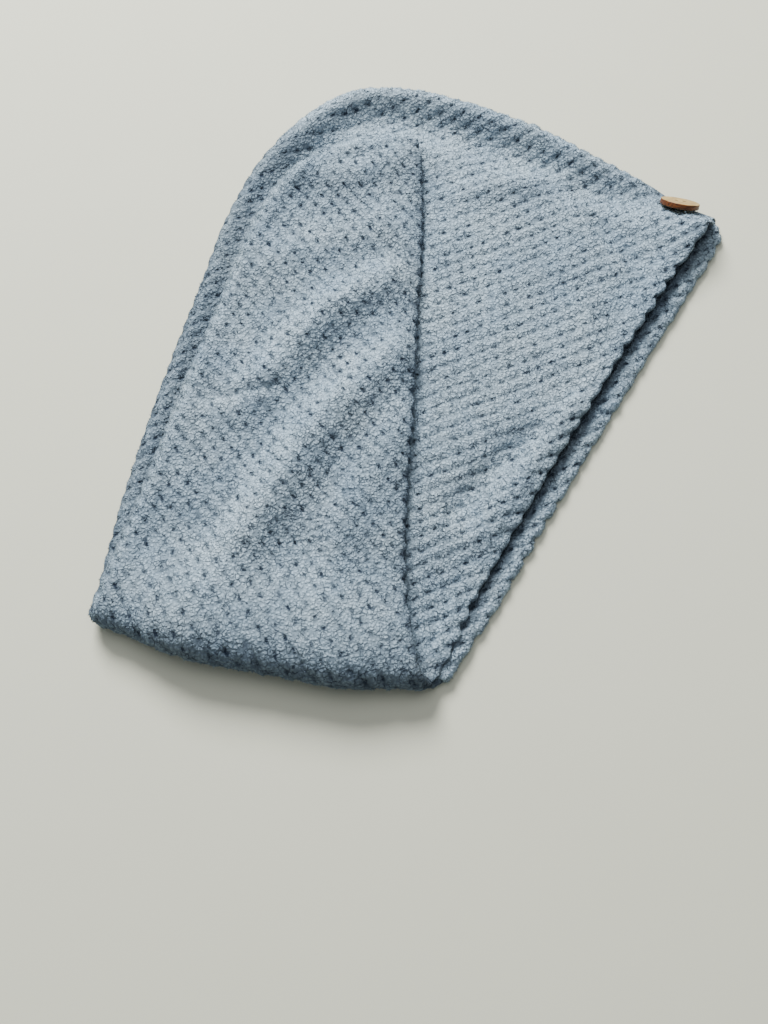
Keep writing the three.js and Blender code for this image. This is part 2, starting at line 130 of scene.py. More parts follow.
# The roll of the crown inside its seam
CROWN_ROLL = 7
CROWN_ROLL_AT = 12
CROWN_ROLL_OUTSIDE = 8  # its width towards the seam
CROWN_ROLL_INSIDE = 8
CROWN_POCKET = 13  # how much further in the pocket opens beside it
CROWN_FROM = (30, 90)  # from the mouth, where it starts
CROWN_END = (196, 246)  # along the cut, where it begins beyond the tail
TAIL_STRAIGHT = (0.3, 0.7)  # share across the tail, where its straight edge lies flatter
TAIL_FLATTER = 0.75
DRIFTS = ((43, 0.7), (23, 0.35))  # length and height of the cloth's own unevenness

# The puffs of the fleece: rows of them across the cut, every second row moved by
# half a pitch
PUFF_ROW = 6.0  # between rows, along x
PUFF_PITCH = 8.7  # between the puffs of a row, along y
PUFF_STRAYS = ((23, 1.3), (6.5, 0.7))  # length and reach of the lattice's unevenness
PUFF_UNEVEN = 0.5  # how much the puffs differ
PUFF_SKEW = 0.72  # above a half for pits that are longer one way
PUFF_FLAT = 1.8  # above 1 for broad tops and narrow creases
PUFF_RISE = 0.3  # a puff's top above the solid's surface
PUFF_DEEP = 0.85  # from its top to the crease beside it
PIT_FROM = 0.82  # share of the way down, where the pit and its painted shade start
PIT_DEEP = 0.35
# Painted shade in the pits and in the creases between the puffs
PIT_PAINTED_SHADE = 0.14
CREASE_PAINTED_SHADE = 0.32
PIT_LINE = (0.885, 0.985)  # the crisp painted shade in the middle of a pit, in the colour
SCALLOP = 0.9  # how far a puff pushes the seam edge of the cloth outwards
MOUTH_SCALLOP = 1.5  # and how far the other edge
SCALLOP_REACH = 7
SCALLOP_MEAN = 0.55  # the height of dome that leaves the edge where it is
PILE_WAVES = ((3.1, 0.3), (1.7, 0.3))  # length and height of the pile's unevenness
RELIEF_ROOM = 3.5  # how far from an edge the creases reach their full depth
RELIEF_SEAM = 1.5  # and the puffs' tops their full height
FREE_EDGE_ROOM = 1.2  # depth that the free edge has room for from the start
INSIDE_SUNK = 0.2  # how uneven the plainer inner face is
INSIDE_WAVE = 5
OFF_FLOOR = 0.05

# Which of the repeatable noises is which
PILE_SALT = 4
INSIDE_SALT = 9
DRIFT_SALT = 20
STRAY_X_SALT = 30
STRAY_Y_SALT = 40
TALLNESS_SALT = 50

# Fineness of the panels, in millimetres between points
FINE_STEP = 1.2
HIDDEN_STEP = 2.3
END_STEP = 0.45  # at both ends of the towel
END_EASE = 6  # from there a step grows by 1 mm in so many
COLUMNS = 70  # half the steps across a panel's outer face
EDGE_OFFSETS = (0, 0.45, 1.0, 1.8, 2.8, 4.0, 5.3)

# The pile's colour: bundles of fibre with painted shade at their rims, and painted shade in cracks
# between them in patches
WAVY = (2.2, 0.9)  # wave length and reach of the strays of the bundles
GRAIN = 1.7  # size of a bundle
GRAIN_SPAN = (0.1, 0.8)  # from its middle to its rim
GRAIN_RIM_SHADE = 0.54
GRAIN_DEEP = 1.6
CRACK = 3.4  # size of the patches that the cracks run round
CRACK_WIDTH = 0.085  # as a share of that size
CRACK_PAINTED_SHADE = 0.36
CRACK_PATCH = 4.5  # size of the patches that have cracks
CRACK_PATCH_SPAN = (0.42, 0.66)  # of their noise
PIT_RAGGED = 0.3
PIT_SIZE = 1.3  # of the ragged bits
# Painted shade in the crisp middle of the pits
PIT_LINE_PAINTED_SHADE = 0.85
INSIDE_SHADED_LEVEL = 0.2  # painted shade: how light the pile inside the pocket is coloured
INSIDE_SHARE = 0.2  # how much of its own light and dark shows there
PIT_FAINT = 0.3  # how strong the faintest pits' painted shade is, as a share of the strongest
PIT_PATCH_SPAN = (0.4, 0.62)
CLOUDS = 38  # broad lighter and darker patches in a metre
# Painted shade and light: the pile is coloured darker on slopes that fall one way and lighter
# on those that rise that way, darker along the seams, and darker on the rim of the head beside the
# tail
SHADE_SLOPE_DIRECTION = (0.38, -0.92, 0)
SLOPE_PAINTED_SHADE = 0.7
SLOPE_PAINTED_LIGHTEST = -0.4  # the slope past which it gets no lighter
SEAM_PAINTED_SHADE = 0.5
SEAM_PAINTED_SHADE_WIDTH = 2.6
RIM_PAINTED_SHADE = 0.4
RIM_REACH = (12, 26)  # from the seam
RIM_SPAN = (225, 262)  # along the cut, where it ends
# The pile is painted darker between the tail's ridges and lighter on them, and painted
# darker along the fold: painted shade and light
VALLEY_PAINTED_SHADE = 0.16
VALLEY_HEIGHT = 6
RIDGE_PAINTED_LIGHT = 0.06
FOLD_PAINTED_SHADE = 0.12
FOLD_PAINTED_SHADE_REACH = (6, 44)

# Tufts of the pile
TUFT_LENGTH = (1.0, 1.8)
TUFT_WIDTH = (0.3, 0.5)
TUFT_LEAN = (0.5, 1.6)
TUFT_ROOT = 0.45
TUFT_TONE = 0.25  # how much one tuft differs from the next
TUFT_TONE_MIDDLE = 0.6
TUFTS_IN_PITS = 0.05  # as a share of those on a puff's top
# Painted shade on the tufts: their roots darker than the pile beneath
TUFT_ROOT_PAINTED_SHADE = 0.7
TUFT_TIP_SHADE = (0.6, 0.4)  # share of the painted shade of the pile beneath, and what is added
RIM_PILE = 9  # how far from the seam the lower panel's own pile reaches
NAPE_FROM = 165  # along the cut, where pile_head ends and pile_nape starts
ROLL_HALF = 12  # half of the fold's roll, across the fold
EDGE_PILE = 2.5  # how much thicker the pile is along an edge
EDGE_PILE_WIDTH = 8
COVERED = 9  # how far the tail reaches past pile that it hides

# The turned hem on the lower panel's side of the mouth
HEM_FROM, HEM_TO = 9, 317
HEM_WIDTH = 11
HEM_STEP_ALONG = 1.05
HEM_PROUD = 0.7
HEM_PROUD_EASE = 2.5
HEM_OVER = 1.6  # past the free edge
HEM_BEND = 2.2  # from the free edge, where its round bend starts
HEM_SUNK = 0.8
HEM_UNDER = 0.2  # below the panel
HEM_LIFT = 0.4  # of its puffs
HEM_EASE = 3  # over which the puffs start at its inner edge
HEM_STEPS = (11, 9, 5)  # across its top, round its bend and under the panel
HEM_BEND_SHOWN = 5  # steps of the bend that have puffs
HEM_SEAM_PUFFS = (2, 12)  # from the seam, where its puffs start
HEM_PAINTED_SHADE = 0.6  # painted shade: how much darker the hem is coloured towards the inside of the pocket
HEM_PAINTED_SHADE_REACH = (2.5, 7)


def mix(low, high, share):
    return low + (high - low) * share


def smooth(low, high, value):
    share = np.clip((value - low) / (high - low), 0, 1)
    return share * share * (3 - 2 * share)


def rise(stretch, value):
    return smooth(stretch[0], stretch[1], value)


def bell(distance, width):
    return np.exp(-((distance / width) ** 2))


def read_table(rows, column, x):
    at, values = rows["x"], rows[column]
    i = np.clip(np.searchsorted(at, x, side="right") - 1, 0, len(at) - 2)
    share = np.clip((x - at[i]) / (at[i + 1] - at[i]), 0, 1)
    return mix(values[i], values[i + 1], smooth(0, 1, share))


def curve_through(points):
    """A centripetal Catmull-Rom curve, one unit of t from point to point."""
    first, last = 2 * points[0] - points[1], 2 * points[-1] - points[-2]
    p = np.vstack([first, points, last])
    gap = np.maximum(((p[1:] - p[:-1]) ** 2).sum(1) ** 0.25, 1e-9)

    def at(t):
        i = np.clip(np.floor(t).astype(int), 0, len(points) - 2)
        w = (t - i)[:, None]
        a, b, c, d = p[i], p[i + 1], p[i + 2], p[i + 3]
        g0, g1, g2 = gap[i][:, None], gap[i + 1][:, None], gap[i + 2][:, None]
        t1 = ((b - a) / g0 - (c - a) / (g0 + g1) + (c - b) / g1) * g1
        t2 = ((c - b) / g1 - (d - b) / (g1 + g2) + (d - c) / g2) * g1
        return b + t1 * w + (-3 * b + 3 * c - 2 * t1 - t2) * w**2 + (2 * b - 2 * c + t1 + t2) * w**3

    return at


front_edge = curve_through(np.stack([STATIONS["front_x"], STATIONS["front_y"]], 1))
seam_edge = curve_through(np.stack([STATIONS["seam_x"], STATIONS["seam_y"]], 1))
LAST = len(STATIONS["front_x"]) - 1
FOLD_STATION = int(np.flatnonzero(STATIONS["front_x"] == 0)[0])


def sewn_outline():
    steps = np.arange(LAST * 5 + 1) / 5
    seam = seam_edge(steps)
    tail_front = front_edge(steps[steps >= FOLD_STATION][::-1])
    return np.vstack([front_edge(np.zeros(1)), seam, tail_front])


OUTLINE = sewn_outline()


def on_segment(x, y, a, b):
    """Share of the way from a to b that lies nearest, and how far off it is."""
    dx, dy = b[0] - a[0], b[1] - a[1]
    length2 = dx * dx + dy * dy
    share = np.clip(((x - a[0]) * dx + (y - a[1]) * dy) / max(length2, 1e-12), 0, 1)
    return share, np.hypot(x - a[0] - dx * share, y - a[1] - dy * share)


def seam_distance(x, y):
    nearest = np.full(np.shape(x), np.inf)
    for a, b in zip(OUTLINE[:-1], OUTLINE[1:]):
        np.minimum(nearest, on_segment(x, y, a, b)[1], out=nearest)
    return nearest


def ridge_height(ridges, x, y):
    height = np.zeros(np.shape(x))
    for line in np.unique(ridges["line"]):
        points = [row for row in zip(*ridges.values()) if row[0] == line]
        own = np.zeros(np.shape(x))
        for (_, x0, y0, top0, width0), (_, x1, y1, top1, width1) in zip(points, points[1:]):
            share, distance = on_segment(x, y, (x0, y0), (x1, y1))
            part = mix(top0, top1, share) * bell(distance, mix(width0, width1, share))
            own = np.where(np.abs(part) > np.abs(own), part, own)
        height += own
    return height


FOLD_END = np.array([-53.0, 164.0])
FOLD_LENGTH = float(np.hypot(*FOLD_END))
FOLD_ALONG = FOLD_END / FOLD_LENGTH
FOLD_ACROSS = np.array([FOLD_ALONG[1], -FOLD_ALONG[0]])


def fold_coordinates(x, y):
    along = x * FOLD_ALONG[0] + y * FOLD_ALONG[1]
    across = x * FOLD_ACROSS[0] + y * FOLD_ACROSS[1]
    return along, across


def plan_point(along, across):
    x = along * FOLD_ALONG[0] + across * FOLD_ACROSS[0]
    y = along * FOLD_ALONG[1] + across * FOLD_ACROSS[1]
    return x, y


def scatter(i, j, salt):
    """A repeatable number from 0 to 1 for each cell of a lattice."""
    value = np.sin(i * 12.9898 + j * 78.233 + salt * 37.719) * 43758.5453
    return value - np.floor(value)


def value_noise(x, y, wave, salt):
    gx, gy = x / wave, y / wave
    ix, iy = np.floor(gx), np.floor(gy)
    sx, sy = smooth(0, 1, gx - ix), smooth(0, 1, gy - iy)
    low = mix(scatter(ix, iy, salt), scatter(ix + 1, iy, salt), sx)
    high = mix(scatter(ix, iy + 1, salt), scatter(ix + 1, iy + 1, salt), sx)
    return mix(low, high, sy) * 2 - 1


def drift(x, y):
    waves = enumerate(DRIFTS, DRIFT_SALT)
    return sum(height * value_noise(x, y, wave, salt) for salt, (wave, height) in waves)


def seam_puff(distance):
    swelling = bell(distance - SEAM_PUFF_AT, SEAM_PUFF_WIDTH)
    return SEAM_PUFF * swelling * smooth(0, SEAM_PUFF_START, distance)


def button_press(x, y):
    return bell(np.hypot(x - MOUTH, y - BUTTON_Y), BUTTON_PRESS_WIDTH)


def pocket_depth(x, y):
    return mix(FOLD_GAP, POCKET_GAP, rise(POCKET_DEEPENS, fold_coordinates(x, y)[1]))


def pocket_gap(x, y, distance):
    on_crown = rise(CROWN_FROM, y) * rise(CROWN_END, x)
    inside = pocket_depth(x, y) * rise(POCKET_SLOPE, distance - CROWN_POCKET * on_crown)
    gape = read_table(MOUTH_EDGE, "gape", x) * rise(GAPE_SEAM, distance)
    near_mouth = 1 - rise(GAPE, y)
    ridges = ridge_height(HEAD_RIDGES, x, y) * rise(RIDGE_SEAM, distance)
    ridges = ridges + drift(x, y) * rise(RIDGE_SEAM, distance)
    crown_width = np.where(distance < CROWN_ROLL_AT, CROWN_ROLL_OUTSIDE, CROWN_ROLL_INSIDE)
    crown = CROWN_ROLL * bell(distance - CROWN_ROLL_AT, crown_width) * on_crown
    puff = seam_puff(distance) * (1 - near_mouth) * (1 - button_press(x, y))
    rolled = crown * smooth(0, SEAM_PUFF_START, distance)
    return np.maximum(0, mix(inside, gape, near_mouth) + ridges) + puff + rolled


def tail_support(x, y):
    middle = np.maximum(TAIL_BESIDE, pocket_depth(x, y))
    return mix(TAIL_BESIDE, middle, rise(TAIL_SUPPORT, seam_distance(x, y))) + 2 * WALL + SEAM_GAP


def sheet_point(flat_x, y):
    """The sheet between the two panels as it lies: points of the flat cut in space."""
    x = flat_x - BUTTON_DRAW * button_press(flat_x, y)
    along, across = fold_coordinates(x, y)
    share = np.clip(along / FOLD_LENGTH, 0, 1)
    radius = read_table(FOLD_ROLL, "radius", share)
    core = radius - WALL - SEAM_GAP / 2
    lift = read_table(FOLD_ROLL, "lift", share)
    lying = WALL + SEAM_GAP / 2
    bowed = read_table(FOLD_ROLL, "bow", share) * (1 - smooth(0, FOLD_SETTLE, np.abs(across)))

    head_height = lying + lift * (1 - smooth(radius, FOLD_SETTLE, across))
    tail_x, tail_y = plan_point(along, -across - bowed)
    rest = tail_support(tail_x, tail_y) + TAIL_CLEARANCE + WALL + TAIL_GAP + SEAM_GAP / 2
    settled = smooth(radius, radius + FOLD_SETTLE, -across)
    tail_height = mix(lying + lift + 2 * core, rest, settled)
    ridges = ridge_height(TAIL_RIDGES, x, y) + drift(x, y)
    tail_height = tail_height + np.maximum(ridges, RIDGE_FLOOR) * settled
    angle = np.clip(across / radius, -1, 1) * (math.pi / 2)
    roll_height = lying + lift + core * (1 - np.sin(angle))

    on_head, on_tail = across >= radius, across <= -radius
    reach = np.where(on_head, across, np.where(on_tail, -across, radius - core * np.cos(angle)))
    plan_x, plan_y = plan_point(along, reach - bowed)
    height = np.where(on_head, head_height, np.where(on_tail, tail_height, roll_height))
    return np.stack([plan_x, plan_y, height], -1)


def unit(vectors):
    return vectors / np.maximum(np.linalg.norm(vectors, axis=-1, keepdims=True), 1e-12)


def sheet_normal(x, y, step=0.5):
    along_x = sheet_point(x + step, y) - sheet_point(x - step, y)
    along_y = sheet_point(x, y + step) - sheet_point(x, y - step)
    return unit(np.cross(along_x, along_y))


def panel_offsets(upper, x, y, from_free_edge, share=1):
    """Both faces of a panel as offsets along the sheet's normal."""
    distance = seam_distance(x, y)
    on_tail = 1 - smooth(-FOLD_TURN, FOLD_TURN, fold_coordinates(x, y)[1])
    straight = on_tail * (1 - rise(TAIL_STRAIGHT, share))
    flatter = 1 - TAIL_FLATTER * straight
    round_over = mix(SEAM_ROUND, TAIL_EDGE_ROUND, straight)
    seam_round = np.sqrt(1 - (1 - np.clip(distance / round_over, 0, 1)) ** 2)
    hem = HEM_EXTRA * (1 - rise(HEM_STEP, from_free_edge)) * rise(HEM_SEAM, distance)
    hem_share = np.clip(from_free_edge / HEM_ROUND, 0, 1)
    hem_round = mix(HEM_EDGE, 1, np.sqrt(1 - (1 - hem_share) ** 2))
    pressed = BUTTON_PRESS * button_press(x, y) if upper else 0
    full = np.maximum(SEAM_EDGE, (WALL + hem - pressed) * seam_round)
    thickness = np.maximum(SEAM_EDGE, full * hem_round)
    lift = SEAM_LIFT * (1 - smooth(0, SEAM_LIFT_WIDTH, distance)) * flatter
    if upper:
        tail_gap = TAIL_GAP * smooth(0, TAIL_GAP_SLOPE, distance)
        gap = mix(pocket_gap(x, y, distance), tail_gap, on_tail)
        inward = 0
    else:
        gap = mix(0, seam_puff(distance) * flatter, on_tail)
        inward = full - np.minimum(full, WALL)
    inner = SEAM_GAP / 2 + gap + (full - thickness) / 2 - inward
    side = 1 if upper else -1
    return lift + side * inner, lift + side * (inner + thickness), distance


def puffs(x, y):
    """The fleece's relief: how high a place is on its puff, and how deep in a pit."""
    for salt, (wave, stray) in enumerate(PUFF_STRAYS):
        x = x + stray * value_noise(x, y, wave, STRAY_X_SALT + salt)
        y = y + stray * value_noise(x, y, wave, STRAY_Y_SALT + salt)
    row_turn, pitch_turn = math.pi * x / PUFF_ROW, 2 * math.pi * y / PUFF_PITCH
    one_wave, other_wave = row_turn + pitch_turn, row_turn - pitch_turn
    lattice = PUFF_SKEW * np.cos(one_wave) + (1 - PUFF_SKEW) * np.cos(other_wave)
    hollow = np.clip(0.5 - 0.5 * lattice, 0, 1)
    tallness = 1 + PUFF_UNEVEN * value_noise(x, y, PUFF_PITCH, TALLNESS_SALT)
    dome = 1 - hollow**PUFF_FLAT * tallness
    pit = smooth(PIT_FROM, 1, hollow)
    return np.clip(dome, 0, 1), pit, np.stack([one_wave, other_wave], -1)


def shade_of(dome, pit):
    """Painted shade of the pile: dark in its pits, and a little darker in its creases."""
    return np.clip((1 - PIT_PAINTED_SHADE * pit) * mix(1 - CREASE_PAINTED_SHADE, 1, smooth(0, 0.85, dome)), 0, 1)


def relief_of(x, y, dome, pit):
    relief = PUFF_RISE - PUFF_DEEP * (1 - dome) - PIT_DEEP * pit
    for salt, (wave, height) in enumerate(PILE_WAVES, PILE_SALT):
        relief = relief + height * value_noise(x, y, wave, salt)
    return relief


def station_rows(visible):
    """Stations along the towel, as close as the stretch of it needs."""
    fine = np.linspace(0, LAST, 6001)
    front, seam = front_edge(fine), seam_edge(fine)
    pace = np.maximum(np.linalg.norm(np.diff(front, axis=0), axis=1),
                      np.linalg.norm(np.diff(seam, axis=0), axis=1))
    middle = (fine[1:] + fine[:-1]) / 2
    step = np.where((middle > visible[0]) & (middle < visible[1]), FINE_STEP, HIDDEN_STEP)
    along = np.concatenate([[0], np.cumsum(pace)])
    from_end = np.minimum(along[1:], along[-1] - along[1:])
    step = np.minimum(step, END_STEP + from_end / END_EASE)
    count = np.concatenate([[0], np.cumsum(pace / step)])
    rows = 2 * int(round(count[-1] / 2)) + 1
    return np.interp(np.linspace(0, count[-1], rows), count, fine)


def cross_shares(length):
    """Shares across a station, closer together at both edges."""
    offsets = np.array(EDGE_OFFSETS)
    fit = np.minimum(1, length / (4 * offsets[-1]))[:, None]
    near = offsets[None] * fit / length[:, None]
    inner_steps = 2 * COLUMNS - 2 * (len(offsets) - 1)
    share = np.linspace(0, 1, inner_steps + 1)[None]
    middle = mix(near[:, -1:], 1 - near[:, -1:], share)
    return np.hstack([near[:, :-1], middle, 1 - near[:, :-1][:, ::-1]])


def grid_normals(points, upper):
    """Normals on the outer side of an upper or a lower panel's grid."""
    along = np.gradient(points, axis=0)
    across = np.gradient(points, axis=1)
    normals = unit(np.cross(across, along))
    return normals if upper else -normals


def to_part(points):
    """From the flat cut's axes to the part's frame, in metres."""
    c, s = math.cos(TOWEL_TURN), math.sin(TOWEL_TURN)
    x = points[..., 0] * c - points[..., 1] * s + TOWEL_AT[0]
    y = points[..., 0] * s + points[..., 1] * c + TOWEL_AT[1]
    return np.stack([x, y, points[..., 2]], -1) * MM


def to_part_turn(directions):
    """A direction in the flat cut's axes, turned to the part's."""
    c, s = math.cos(TOWEL_TURN), math.sin(TOWEL_TURN)
    x = directions[..., 0] * c - directions[..., 1] * s
    y = directions[..., 0] * s + directions[..., 1] * c
    return np.stack([x, y, directions[..., 2]], -1)


def flat_grid(visible, upper):
    rows = station_rows(visible)
    front, seam = front_edge(rows), seam_edge(rows)
    on_mouth = front[:, 0] > 0
    edge = read_table(MOUTH_EDGE, "upper_y" if upper else "lower_y", front[:, 0])
    front[:, 1] += np.where(on_mouth, edge, 0)
    length = np.linalg.norm(seam - front, axis=1)
    shares = cross_shares(length)
    x = mix(front[:, :1], seam[:, :1], shares)
    y = mix(front[:, 1:], seam[:, 1:], shares)
    from_free = np.where(on_mouth[:, None], shares * length[:, None], HEM_STEP[1])
    return x, y, from_free, shares, length, unit(seam - front)


def panel_surfaces(upper, visible):
    """The outer face of a panel with its puffs, and its plainer inner face."""
    x, y, from_free, shares, length, across = flat_grid(visible, upper)
    dome, pit, turns = puffs(x, y)
    to_front, to_seam = shares * length[:, None], (1 - shares) * length[:, None]
    at_seam = SCALLOP * (1 - smooth(0, SCALLOP_REACH, to_seam))
    at_front = MOUTH_SCALLOP * (1 - smooth(0, SCALLOP_REACH, to_front))
    push = (dome - SCALLOP_MEAN) * (at_seam - at_front)
    moved_x, moved_y = x + across[:, :1] * push, y + across[:, 1:] * push
    inner, outer, distance = panel_offsets(upper, x, y, from_free, shares)
    centre, normal = sheet_point(moved_x, moved_y), sheet_normal(moved_x, moved_y)
    outer_face = centre + normal * outer[..., None]
    inner_face = centre + normal * inner[..., None]
    room = smooth(0, RELIEF_ROOM, np.minimum(distance, from_free + FREE_EDGE_ROOM))
    relief = relief_of(x, y, dome, pit)
    relief = relief * np.where(relief < 0, room, smooth(0, RELIEF_SEAM, distance))
    outward = grid_normals(outer_face, upper)
    outer_face = outer_face + outward * relief[..., None]
    outer_face[..., 2] = np.maximum(outer_face[..., 2], OFF_FLOOR)
    sunk = INSIDE_SUNK * (1 - value_noise(x, y, INSIDE_WAVE, INSIDE_SALT)) * room
    inner_face = inner_face + grid_normals(inner_face, upper) * sunk[..., None]
    # Painted shade and light: darker on slopes that fall one way, lighter on those facing back
    slope = np.clip((to_part_turn(outward) * np.array(SHADE_SLOPE_DIRECTION)).sum(-1), SLOPE_PAINTED_LIGHTEST, 1)
    height = shade_of(dome, pit) * (1 - SLOPE_PAINTED_SHADE * slope)
    # Painted shade along the seams
    height = height * (1 - SEAM_PAINTED_SHADE * bell(distance, SEAM_PAINTED_SHADE_WIDTH))
    if upper:
        # Painted shade on the rim of the head beside the tail
        rim_share = (1 - rise(RIM_REACH, distance)) * (1 - rise(RIM_SPAN, x))
        height = height * (1 - RIM_PAINTED_SHADE * rim_share)
    else:
        from_fold = -fold_coordinates(x, y)[1]
        # Painted shade between the tail's ridges and painted light on them
        raised = smooth(0, VALLEY_HEIGHT, ridge_height(TAIL_RIDGES, x, y))
        lying = mix(1 - VALLEY_PAINTED_SHADE, 1 + RIDGE_PAINTED_LIGHT, raised)
        height = height * np.where(from_fold > 0, lying, 1)
        # Painted shade along the fold
        height = height * (1 - FOLD_PAINTED_SHADE * (1 - rise(FOLD_PAINTED_SHADE_REACH, np.abs(from_fold))))
    return outer_face, inner_face[::2, ::2], height, turns, (x, y, distance)


def grid_quads(rows, columns, start, flip):
    i, j = np.meshgrid(np.arange(rows - 1), np.arange(columns - 1), indexing="ij")
    a = start + i * columns + j
    quads = np.stack([a, a + 1, a + columns + 1, a + columns], -1).reshape(-1, 4)
    return quads[:, ::-1] if flip else quads


def rim(outer_ring, inner_ring):
    """Triangles between the edge of the outer face and the coarser inner one."""
    faces = []
    count = len(inner_ring)
    for k in range(count):
        a, b = outer_ring[2 * k], outer_ring[2 * k + 1]
        c = outer_ring[(2 * k + 2) % len(outer_ring)]
        low, high = inner_ring[k], inner_ring[(k + 1) % count]
        faces += [(a, low, b), (b, low, high), (b, high, c)]
    return faces


def ring(rows, columns, start):
    index = start + np.arange(rows * columns).reshape(rows, columns)
    return [*index[0, :-1], *index[:-1, -1], *index[-1, :0:-1], *index[:0:-1, 0]]


def new_mesh(name, points, faces, material):
    mesh = bpy.data.meshes.new(name)
    mesh.from_pydata([tuple(p) for p in points.tolist()], [], faces)
    mesh.validate()
    mesh.update()
    mesh.shade_smooth()
    piece = bpy.data.objects.new(name, mesh)
    bpy.context.scene.collection.objects.link(piece)
    if material is not None:
        mesh.materials.append(material)
    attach(piece, "root")
    return piece


def panel(name, upper, visible, material):
    outer, inner, height, turns, cut = panel_surfaces(upper, visible)
    rows, columns = outer.shape[:2]
    small_rows, small_columns = inner.shape[:2]
    start = rows * columns
    faces = grid_quads(rows, columns, 0, not upper).tolist()
    faces += grid_quads(small_rows, small_columns, start, upper).tolist()
    edge = rim(ring(rows, columns, 0), ring(small_rows, small_columns, start))
    faces += edge if upper else [f[::-1] for f in edge]
    points = to_part(np.vstack([outer.reshape(-1, 3), inner.reshape(-1, 3)]))
    piece = new_mesh(name, points, faces, material)
    # Painted shade on the inner faces, inside the pocket
    inner_height = height[::2, ::2].reshape(-1) * INSIDE_SHARE + INSIDE_SHADED_LEVEL
    inner_turns = turns[::2, ::2].reshape(-1, 2)
    mark(piece, np.concatenate([height.reshape(-1), inner_height]),
         np.vstack([turns.reshape(-1, 2), inner_turns]))
    return piece, to_part(outer), height, turns, cut


def mark(piece, values, turns):
    """Keeps each point's painted shade, from its height on its puff and from the other painted
    shade and light, and its place in the lattice of puffs, for the colour of the pile."""
    # The puff attribute holds the painted shade
    shade = piece.data.attributes.new("puff", "FLOAT", "POINT")
    shade.data.foreach_set("value", values.reshape(-1))
    place = piece.data.attributes.new("lattice", "FLOAT_VECTOR", "POINT")
    flat_turns = turns.reshape(-1, 2)
    place.data.foreach_set("vector", np.hstack([flat_turns, 0 * flat_turns[:, :1]]).reshape(-1))


def hem_band(name, material):
    """The hem turned over the lower panel's free edge, with the puffs of the fleece."""
    reach = np.linspace(0, FOLD_STATION, 4001)
    reach_x = front_edge(reach)[:, 0]
    count = int((HEM_TO - HEM_FROM) / HEM_STEP_ALONG)
    station = np.interp(np.linspace(HEM_FROM, HEM_TO, count), reach_x[::-1], reach[::-1])
    front, seam = front_edge(station), seam_edge(station)
    front[:, 1] += read_table(MOUTH_EDGE, "lower_y", front[:, 0])
    across = unit(seam - front)
    top_steps, bend_steps, under_steps = HEM_STEPS
    over = np.linspace(HEM_WIDTH, HEM_BEND, top_steps)
    turn = np.radians(np.linspace(0, 180, bend_steps))[1:]
    under = np.linspace(HEM_BEND, HEM_WIDTH, under_steps)[1:]
    inward = np.concatenate([over, HEM_BEND - (HEM_BEND + HEM_OVER) * np.sin(turn), under])
    level = np.concatenate([0 * over + 1, 0.5 + 0.5 * np.cos(turn), 0 * under])
    x = front[:, :1] + across[:, :1] * inward
    y = front[:, 1:] + across[:, 1:] * inward
    dome, pit, turns = puffs(x, y)
    inner, outer, distance = panel_offsets(False, x, y, np.maximum(inward, HEM_ROUND)[None] + 0 * x)
    top = inner + HEM_PROUD * smooth(0, HEM_PROUD_EASE, HEM_WIDTH - inward)[None]
    low = np.where(inward[None] > HEM_BEND, inner - HEM_SUNK, outer + HEM_UNDER)
    offset = mix(low, top, level[None])
    centre, normal = sheet_point(x, y), sheet_normal(x, y)
    surface = centre + normal * offset[..., None]
    hidden = len(inward) - len(over) - HEM_BEND_SHOWN
    eased = smooth(0, HEM_EASE, HEM_WIDTH - over)
    shown = np.concatenate([eased, np.ones(HEM_BEND_SHOWN), np.zeros(hidden)])[None]
    relief = (relief_of(x, y, dome, pit) + HEM_LIFT) * shown * rise(HEM_SEAM_PUFFS, distance)
    surface = surface + grid_normals(surface, True) * relief[..., None]
    surface[..., 2] = np.maximum(surface[..., 2], 2 * OFF_FLOOR)
    rows, columns = surface.shape[:2]
    index = np.arange(rows * columns).reshape(rows, columns)
    along = np.concatenate([index, index[:, :1]], 1)
    faces = np.stack([along[:-1, :-1], along[:-1, 1:], along[1:, 1:], along[1:, :-1]], -1)
    faces = faces.reshape(-1, 4).tolist() + [index[0, ::-1].tolist(), index[-1].tolist()]
    points = to_part(surface)
    piece = new_mesh(name, points.reshape(-1, 3), faces, material)
    # Painted shade: the hem darker towards the inside of the pocket
    height = shade_of(dome, pit) * (1 - HEM_PAINTED_SHADE * rise(HEM_PAINTED_SHADE_REACH, inward)[None])
    mark(piece, height, turns)
    return piece, points, height, turns, shown * np.ones_like(height)


def inside_outline(x, y):
    inside = np.zeros(np.shape(x), bool)
    for (ax, ay), (bx, by) in zip(OUTLINE, np.roll(OUTLINE, -1, axis=0)):
        crosses = (ay > y) != (by > y)
        inside ^= crosses & (x < ax + (bx - ax) * (y - ay) / (by - ay if by != ay else 1))
    return inside


def under_tail(x, y):
    """1 where the folded tail hides the head."""
    along, across = fold_coordinates(x, y)
    mirror_x, mirror_y = plan_point(along, -across)
    hidden = inside_outline(mirror_x, mirror_y) & (seam_distance(mirror_x, mirror_y) > COVERED)
    return (hidden & (across > 0)).astype(float)


